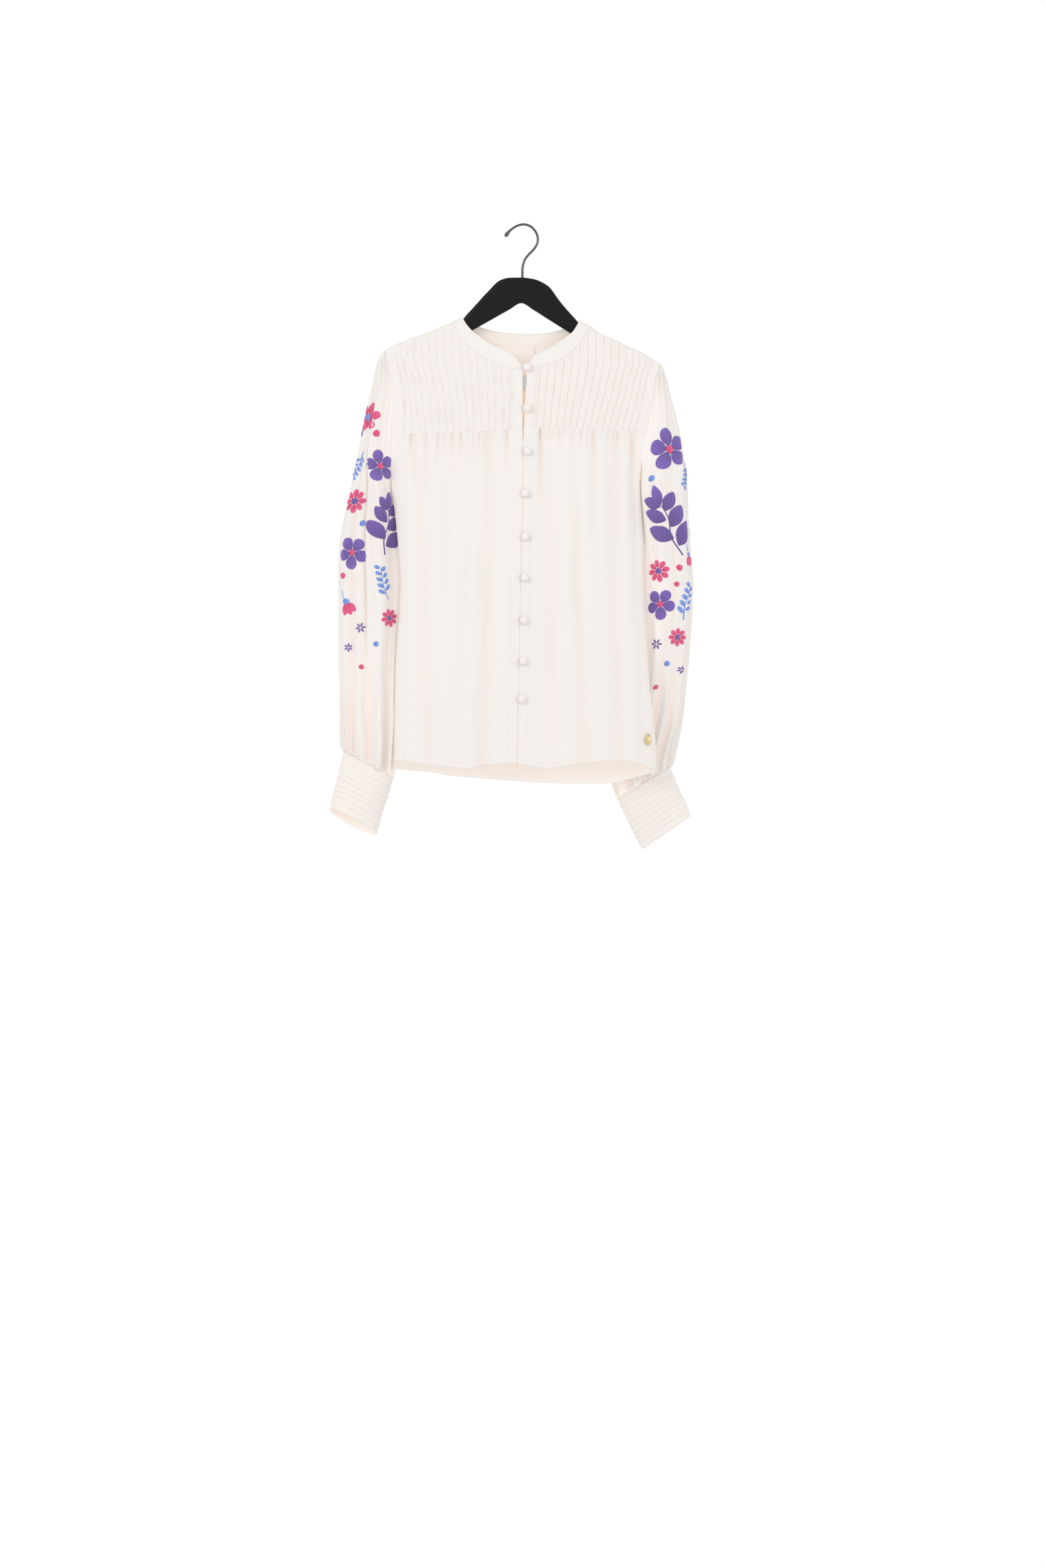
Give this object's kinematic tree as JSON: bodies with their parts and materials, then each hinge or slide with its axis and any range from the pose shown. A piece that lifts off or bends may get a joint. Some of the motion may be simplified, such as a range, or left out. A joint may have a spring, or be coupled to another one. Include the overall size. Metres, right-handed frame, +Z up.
{
  "type": "blouse",
  "caption": "Long-sleeved cream blouse hung on a flat hanger, with pintucked yokes, split band collar, covered ball buttons in loops, full embroidered sleeves and deep tucked cuffs",
  "frame": {"origin": "the inside of the top of the hanger's hook, where it rests on a rail", "axes": "+X to the viewer's right, -Y out of the front of the blouse, +Z up"},
  "size_m": [0.4926, 0.1177, 0.8463],
  "materials": {
    "cloth": "soft matt woven cloth in cream, with purple, pink and blue embroidery on the sleeves",
    "label": "plain woven tape",
    "black_wood": "smooth black satin lacquer",
    "dark_metal": "gunmetal, semi-gloss",
    "gold_metal": "polished gold colour"
  },
  "bodies": {
    "blouse": {"front_right": "cloth", "front_left": "cloth", "yoke_right": "cloth", "yoke_left": "cloth", "back": "cloth", "neck_band": "cloth", "sleeve_right": "cloth", "sleeve_left": "cloth", "cuff_right": "cloth", "cuff_left": "cloth", "button_1": "cloth", "button_2": "cloth", "button_3": "cloth", "button_4": "cloth", "button_5": "cloth", "button_6": "cloth", "button_7": "cloth", "button_8": "cloth", "button_9": "cloth", "loop_1": "cloth", "loop_2": "cloth", "loop_3": "cloth", "loop_4": "cloth", "loop_5": "cloth", "loop_6": "cloth", "loop_7": "cloth", "loop_8": "cloth", "loop_9": "cloth", "neck_label": "label", "size_label": "label", "inner_tape": "label", "hanger": "black_wood", "hanger_hook": "dark_metal", "charm_loop": "cloth"},
    "charm": {"charm": "gold_metal"}
  },
  "joints": [
    {"name": "charm_swing", "type": "hinge", "parent": "blouse", "child": "charm", "pos_m": [0.1665, -0.01542, -0.688], "axis": [0.4759, -0.8795, 0], "range_deg": [-50, 50]}
  ]
}
